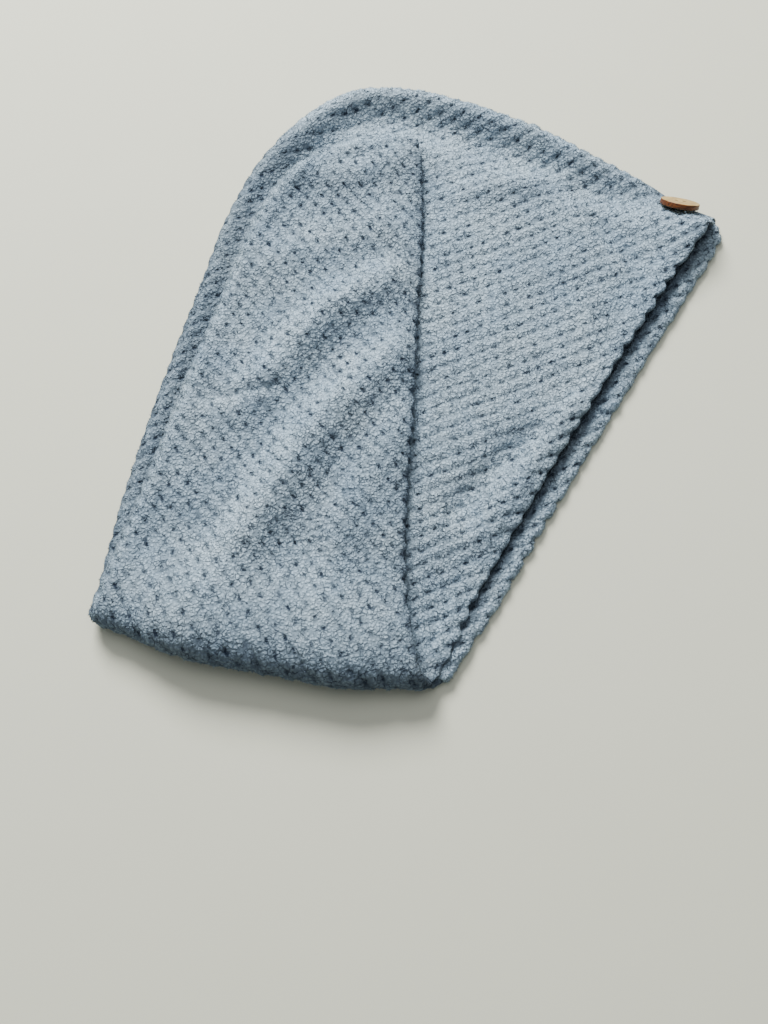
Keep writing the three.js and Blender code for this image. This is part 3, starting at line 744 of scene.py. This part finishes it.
def pile(name, surface, height, turns, keep, tufts, material, random, facing=1):
    """Small tufts standing on a stretch of the fleece; facing is -1 on a lower panel."""
    along = surface[1:, :-1] - surface[:-1, :-1]
    across = surface[:-1, 1:] - surface[:-1, :-1]
    normals = facing * np.cross(across, along)
    area = np.linalg.norm(normals, axis=-1)
    on_tops = mix(TUFTS_IN_PITS, 1, height[:-1, :-1] ** 3)
    weight = area * keep[:-1, :-1] * on_tops
    chosen = random.choice(weight.size, tufts, p=(weight / weight.sum()).reshape(-1))
    i, j = np.unravel_index(chosen, weight.shape)
    a, b = random.random((2, tufts, 1))
    root = surface[i, j] + along[i, j] * a + across[i, j] * b
    normal = unit(normals[i, j])
    lean = random.normal(size=(tufts, 3))
    lean = unit(lean - normal * (lean * normal).sum(1, keepdims=True))
    direction = unit(normal + lean * random.uniform(*TUFT_LEAN, (tufts, 1)))
    side = unit(np.cross(direction, lean))
    other = np.cross(direction, side)
    width = random.uniform(*TUFT_WIDTH, (tufts, 1)) * MM
    length = random.uniform(*TUFT_LENGTH, (tufts, 1)) * MM
    base = root - normal * TUFT_ROOT * MM
    corners = [base + width * (side * math.cos(t) + other * math.sin(t))
               for t in (0, 2 * math.pi / 3, 4 * math.pi / 3)]
    points = np.stack([*corners, base + direction * length], 1).reshape(-1, 3)
    points[:, 2] = np.maximum(points[:, 2], 2 * OFF_FLOOR * MM)
    start = np.arange(tufts)[:, None] * 4
    faces = np.concatenate([start + f for f in ((0, 1, 3), (1, 2, 3), (2, 0, 3), (0, 2, 1))])
    piece = new_mesh(name, points, faces.tolist(), material)
    tone = 1 + TUFT_TONE * (random.random(tufts) - TUFT_TONE_MIDDLE)
    share, added = TUFT_TIP_SHADE
    # The tufts carry the painted shade of the pile beneath, with painted shade at their roots
    tip = (height[i, j] * share + added) * tone
    values = np.stack([height[i, j] * TUFT_ROOT_PAINTED_SHADE] * 3 + [tip], 1)
    mark(piece, values, np.repeat(turns[i, j], 4, axis=0))
    return piece


def node_tree(name):
    material = bpy.data.materials.new(name)
    material.use_nodes = True
    nodes = material.node_tree.nodes
    return material, nodes, material.node_tree.links, nodes["Principled BSDF"]


def linear(red, green, blue):
    """A colour given as on a screen, from 0 to 255."""
    share = [c / 255 for c in (red, green, blue)]
    return tuple(c / 12.92 if c < 0.04045 else ((c + 0.055) / 1.055) ** 2.4 for c in share) + (1,)


def ramp(nodes, stops):
    node = nodes.new("ShaderNodeValToRGB")
    while len(node.color_ramp.elements) < len(stops):
        node.color_ramp.elements.new(0.5)
    for element, (position, colour) in zip(node.color_ramp.elements, stops):
        element.position, element.color = position, colour
    return node


def noise(nodes, links, place, scale, detail=3, roughness=0.6):
    node = nodes.new("ShaderNodeTexNoise")
    node.inputs["Scale"].default_value = scale
    node.inputs["Detail"].default_value = detail
    node.inputs["Roughness"].default_value = roughness
    links.new(place, node.inputs["Vector"])
    return node


def maths(nodes, links, operation, *values):
    node = nodes.new("ShaderNodeMath")
    node.operation = operation
    for socket, value in zip(node.inputs, values):
        if isinstance(value, (int, float)):
            socket.default_value = value
        else:
            links.new(value, socket)
    return node.outputs[0]


def span(nodes, links, value, start, end, low=0.0, high=1.0):
    """Eases from low to high while the value goes from start to end."""
    node = nodes.new("ShaderNodeMapRange")
    node.interpolation_type = "SMOOTHSTEP"
    for socket, number in zip(("From Min", "From Max", "To Min", "To Max"),
                              (start, end, low, high)):
        node.inputs[socket].default_value = number
    links.new(value, node.inputs["Value"])
    return node.outputs["Result"]


def cells(nodes, links, place, size, feature):
    node = nodes.new("ShaderNodeTexVoronoi")
    node.feature = feature
    node.inputs["Scale"].default_value = 1 / (size * MM)
    links.new(place, node.inputs["Vector"])
    return node.outputs["Distance"]


def warped(nodes, links, place, wave, reach):
    """The place, moved about by noise of one wave length, in millimetres."""
    stray = noise(nodes, links, place, 1 / (wave * MM), 1)
    centred = nodes.new("ShaderNodeVectorMath")
    centred.operation = "SUBTRACT"
    links.new(stray.outputs["Color"], centred.inputs[0])
    centred.inputs[1].default_value = (0.5, 0.5, 0.5)
    moved = nodes.new("ShaderNodeVectorMath")
    moved.operation = "MULTIPLY_ADD"
    links.new(centred.outputs[0], moved.inputs[0])
    moved.inputs[1].default_value = (2 * reach * MM,) * 3
    links.new(place, moved.inputs[2])
    return moved.outputs[0]


def pit_lines(nodes, links, ragged):
    """The crisp painted shade in the middle of each pit, from the lattice kept at the points."""
    lattice = nodes.new("ShaderNodeAttribute")
    lattice.attribute_name = "lattice"
    parts = nodes.new("ShaderNodeSeparateXYZ")
    links.new(lattice.outputs["Vector"], parts.inputs[0])
    one = maths(nodes, links, "COSINE", parts.outputs[0])
    other = maths(nodes, links, "COSINE", parts.outputs[1])
    one = maths(nodes, links, "MULTIPLY", one, -0.5 * PUFF_SKEW)
    hollow = maths(nodes, links, "MULTIPLY_ADD", other, -0.5 * (1 - PUFF_SKEW), one)
    hollow = maths(nodes, links, "MULTIPLY_ADD", ragged, PIT_RAGGED, hollow)
    low, high = (limit - 0.5 + 0.5 * PIT_RAGGED for limit in PIT_LINE)
    return span(nodes, links, hollow, low, high)


def fleece_material(name, tops, pits, bump):
    material, nodes, links, shader = node_tree(name)
    place = nodes.new("ShaderNodeTexCoord").outputs["Object"]
    puff = nodes.new("ShaderNodeAttribute")
    puff.attribute_name = "puff"
    wavy = warped(nodes, links, place, *WAVY)
    grain = cells(nodes, links, wavy, GRAIN, "F1")
    # Painted shade at the rims of the fibre bundles and in the cracks between them
    grain_light = span(nodes, links, grain, *GRAIN_SPAN, 1, GRAIN_RIM_SHADE)
    edge = cells(nodes, links, wavy, CRACK, "DISTANCE_TO_EDGE")
    patches = noise(nodes, links, place, 1 / (CRACK_PATCH * MM), 2)
    width = span(nodes, links, patches.outputs["Fac"], *CRACK_PATCH_SPAN, 0, CRACK_WIDTH)
    shallow = maths(nodes, links, "DIVIDE", edge, maths(nodes, links, "ADD", width, 0.002))
    crack_light = span(nodes, links, shallow, 0.3, 1, CRACK_PAINTED_SHADE, 1)
    ragged = noise(nodes, links, place, 1 / (PIT_SIZE * MM), 2)
    pit = pit_lines(nodes, links, ragged.outputs["Fac"])
    strength = span(nodes, links, patches.outputs["Fac"], *PIT_PATCH_SPAN, PIT_FAINT, 1)
    pit = maths(nodes, links, "MULTIPLY", pit, strength)
    pit_light = maths(nodes, links, "MULTIPLY_ADD", pit, -PIT_LINE_PAINTED_SHADE, 1)
    light = maths(nodes, links, "MULTIPLY", grain_light, crack_light)
    light = maths(nodes, links, "MULTIPLY", light, pit_light)
    # The painted shade kept at the points darkens the pile's colour towards the shaded colour
    shade = maths(nodes, links, "MULTIPLY", light, puff.outputs["Fac"])
    shade_ramp = ramp(nodes, [(0.05, pits), (1, tops)])
    links.new(shade, shade_ramp.inputs["Fac"])
    cloud = noise(nodes, links, place, CLOUDS, 3)
    tint = ramp(nodes, [(0.3, linear(222, 229, 238)), (0.7, linear(255, 255, 255))])
    links.new(cloud.outputs["Fac"], tint.inputs["Fac"])
    drift_colour = nodes.new("ShaderNodeMix")
    drift_colour.data_type, drift_colour.blend_type = "RGBA", "MULTIPLY"
    drift_colour.inputs["Factor"].default_value = 1
    links.new(shade_ramp.outputs["Color"], drift_colour.inputs[6])
    links.new(tint.outputs["Color"], drift_colour.inputs[7])
    links.new(drift_colour.outputs[2], shader.inputs["Base Color"])
    relief = nodes.new("ShaderNodeBump")
    relief.inputs["Strength"].default_value = bump
    relief.inputs["Distance"].default_value = GRAIN_DEEP * MM
    links.new(light, relief.inputs["Height"])
    links.new(relief.outputs["Normal"], shader.inputs["Normal"])
    shader.inputs["Roughness"].default_value = 0.95
    shader.inputs["Specular IOR Level"].default_value = 0.15
    shader.inputs["Sheen Weight"].default_value = 0.15
    shader.inputs["Sheen Roughness"].default_value = 0.5
    shader.inputs["Sheen Tint"].default_value = linear(205, 228, 250)
    return material


def plain_material(name, colour, roughness):
    material, nodes, links, shader = node_tree(name)
    place = nodes.new("ShaderNodeTexCoord").outputs["Object"]
    tone = noise(nodes, links, place, 14, 2)
    low, high = [tuple(c * s for c in colour[:3]) + (1,) for s in (0.994, 1.006)]
    shades = ramp(nodes, [(0.35, low), (0.65, high)])
    links.new(tone.outputs["Fac"], shades.inputs["Fac"])
    links.new(shades.outputs["Color"], shader.inputs["Base Color"])
    shader.inputs["Roughness"].default_value = roughness
    shader.inputs["Specular IOR Level"].default_value = 0.2
    return material


# The wooden button
BUTTON_AT = Vector((144.7, 96.3, 12.0)) * MM
BUTTON_FACES = Vector((0.146, 0.671, 0.728)).normalized()
BUTTON_RADIUS = 11 * MM
BUTTON_THICK = 3 * MM
BUTTON_BEVEL = 0.45 * MM
HOLE_RADIUS = 0.95 * MM
HOLE_OFF = 2.3 * MM


def circle(spline_owner, radius, centre_x, count):
    spline = spline_owner.splines.new("POLY")
    spline.points.add(count - 1)
    for i, point in enumerate(spline.points):
        angle = 2 * math.pi * i / count
        point.co = (centre_x + radius * math.cos(angle), radius * math.sin(angle), 0, 1)
    spline.use_cyclic_u = True


def wooden_button(face_material, edge_material):
    outline = bpy.data.curves.new("button_outline", "CURVE")
    outline.dimensions, outline.fill_mode = "2D", "BOTH"
    circle(outline, BUTTON_RADIUS - BUTTON_BEVEL, 0, 96)
    for side in (-1, 1):
        circle(outline, HOLE_RADIUS + BUTTON_BEVEL, side * HOLE_OFF, 24)
    outline.extrude = BUTTON_THICK / 2 - BUTTON_BEVEL
    outline.bevel_depth, outline.bevel_resolution = BUTTON_BEVEL, 4
    made = bpy.data.objects.new("button_outline", outline)
    bpy.context.scene.collection.objects.link(made)
    evaluated = made.evaluated_get(bpy.context.evaluated_depsgraph_get())
    mesh = bpy.data.meshes.new_from_object(evaluated)
    bpy.data.objects.remove(made)
    mesh.name = "wooden_button"

    quaternion = Vector((0, 0, 1)).rotation_difference(BUTTON_FACES)
    mesh.transform(quaternion.to_matrix().to_4x4())
    mesh.transform(Matrix.Translation(BUTTON_AT))
    mesh.materials.clear()
    mesh.materials.append(face_material)
    mesh.materials.append(edge_material)
    for polygon in mesh.polygons:
        polygon.material_index = 0 if abs(polygon.normal.dot(BUTTON_FACES)) > 0.8 else 1
    piece = bpy.data.objects.new("wooden_button", mesh)
    bpy.context.scene.collection.objects.link(piece)
    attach(piece, "root")
    return piece


def wood_material(name, light, dark):
    material, nodes, links, shader = node_tree(name)
    place = nodes.new("ShaderNodeTexCoord").outputs["Object"]
    stretch = nodes.new("ShaderNodeMapping")
    stretch.inputs["Rotation"].default_value = (0, 0, 0.5)
    stretch.inputs["Scale"].default_value = (1, 7, 7)
    links.new(place, stretch.inputs["Vector"])
    rings = noise(nodes, links, stretch.outputs[0], 160, 4, 0.65)
    shades = ramp(nodes, [(0.35, dark), (0.62, light)])
    links.new(rings.outputs["Fac"], shades.inputs["Fac"])
    links.new(shades.outputs["Color"], shader.inputs["Base Color"])
    relief = nodes.new("ShaderNodeBump")
    relief.inputs["Strength"].default_value = 0.3
    relief.inputs["Distance"].default_value = 0.0002
    links.new(rings.outputs["Fac"], relief.inputs["Height"])
    links.new(relief.outputs["Normal"], shader.inputs["Normal"])
    shader.inputs["Roughness"].default_value = 0.5
    return material


# The camera stands where the photo was taken from, and looks steeply down
CAMERA_AT = (-0.022387, -0.319080, 0.575079)
CAMERA_TILT = 22  # degrees from straight down
CAMERA_LENS = 42.1875
SENSOR = 36


def set_camera():
    data = bpy.data.cameras.new("camera")
    data.lens, data.sensor_width, data.sensor_fit = CAMERA_LENS, SENSOR, "AUTO"
    data.clip_start, data.clip_end = 0.01, 20
    camera = bpy.data.objects.new("camera", data)
    camera.location = CAMERA_AT
    camera.rotation_euler = (math.radians(CAMERA_TILT), 0, 0)
    bpy.context.scene.collection.objects.link(camera)
    bpy.context.scene.camera = camera


# A soft key light from behind on the left, a weak one above, and pale surroundings:
# each light's name, place, size, power and colour
LIGHTS = (("key", (-0.46, 1.1, 1.12), 0.8, 57, (1, 0.99, 0.97)),
          ("top", (0.0, 0.1, 1.6), 1.2, 6.6, (0.98, 0.99, 1)))
SURROUNDINGS = (0.93, 0.95, 1, 1)
SURROUNDINGS_LIGHT = 0.24


def area_light(name, place, size, power, colour):
    data = bpy.data.lights.new(name, "AREA")
    data.shape, data.size, data.energy, data.color = "DISK", size, power, colour
    lamp = bpy.data.objects.new(name, data)
    lamp.location = place
    lamp.rotation_euler = (-Vector(place)).to_track_quat("-Z", "Y").to_euler()
    bpy.context.scene.collection.objects.link(lamp)


def studio():
    world = bpy.data.worlds.new("studio")
    world.use_nodes = True
    background = world.node_tree.nodes["Background"]
    background.inputs["Color"].default_value = SURROUNDINGS
    background.inputs["Strength"].default_value = SURROUNDINGS_LIGHT
    bpy.context.scene.world = world
    for light in LIGHTS:
        area_light(*light)


FLOOR_HALF = 6  # in metres


def floor(material):
    corners = [(FLOOR_HALF * x, FLOOR_HALF * y, 0) for x, y in ((-1, -1), (1, -1), (1, 1), (-1, 1))]
    mesh = bpy.data.meshes.new("floor")
    mesh.from_pydata(corners, [], [(0, 1, 2, 3)])
    mesh.materials.append(material)
    piece = bpy.data.objects.new("floor", mesh)
    bpy.context.scene.collection.objects.link(piece)
    return piece


FLOOR_PAINT = linear(222, 224, 205)
# Fleece colours: the lit tops of the puffs, and the colour where the painted shade is deepest
FLEECE_TOPS, FLEECE_SHADED = linear(199, 222, 236), linear(34, 46, 62)
TUFT_TOPS, TUFT_SHADED = linear(203, 226, 240), linear(42, 56, 74)
WOOD_LIGHT, WOOD_DARK = linear(206, 178, 112), linear(136, 96, 46)
EDGE_LIGHT, EDGE_DARK = linear(132, 74, 26), linear(38, 18, 8)

set_camera()
studio()
table_top = floor(plain_material("floor_paint", FLOOR_PAINT, 0.8))
fleece = fleece_material("fleece", FLEECE_TOPS, FLEECE_SHADED, 1)
tufts = fleece_material("fleece_pile", TUFT_TOPS, TUFT_SHADED, 0.6)
random = np.random.default_rng(RANDOM_SEED)

# The stations between which each panel's outer face is seen, and is finer
HEAD_SHOWN = (0, FOLD_STATION - 1.2)
TAIL_SHOWN = (FOLD_STATION - 1.2, LAST)
left, *left_pile, left_cut = panel("fleece_left", True, HEAD_SHOWN, fleece)
right, *right_pile, right_cut = panel("fleece_right", False, TAIL_SHOWN, fleece)
hem, *hem_pile, hem_shown = hem_band("fleece_hem", fleece)

left_across = fold_coordinates(left_cut[0], left_cut[1])[1]
right_across = fold_coordinates(right_cut[0], right_cut[1])[1]
on_head = (left_across > 0) * (1 - under_tail(left_cut[0], left_cut[1]))
on_head = on_head * (1 + EDGE_PILE * bell(left_cut[2], EDGE_PILE_WIDTH))
near_nape = (left_cut[0] > NAPE_FROM) * 1.0
on_tail = (right_across < -ROLL_HALF) * (1 + EDGE_PILE * bell(right_cut[2], EDGE_PILE_WIDTH))
on_roll = (np.abs(right_across) <= ROLL_HALF) * 1.0
on_rim = (right_across > ROLL_HALF) * (right_cut[2] < RIM_PILE) * 1.0
pieces = [
    pile("pile_nape", *left_pile, on_head * near_nape, 16000, tufts, random),
    pile("pile_head", *left_pile, on_head * (1 - near_nape), 16000, tufts, random),
    pile("pile_tail", *right_pile, on_tail, 20000, tufts, random, facing=-1),
    pile("pile_fold", *right_pile, on_roll + on_rim, 18000, tufts, random, facing=-1),
    pile("pile_hem", *hem_pile, hem_shown, 4000, tufts, random),
]
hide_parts("left_panel")
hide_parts("right_panel")

wood_face = wood_material("wood_face", WOOD_LIGHT, WOOD_DARK)
wood_edge = wood_material("wood_edge", EDGE_LIGHT, EDGE_DARK)
button = wooden_button(wood_face, wood_edge)
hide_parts("button")
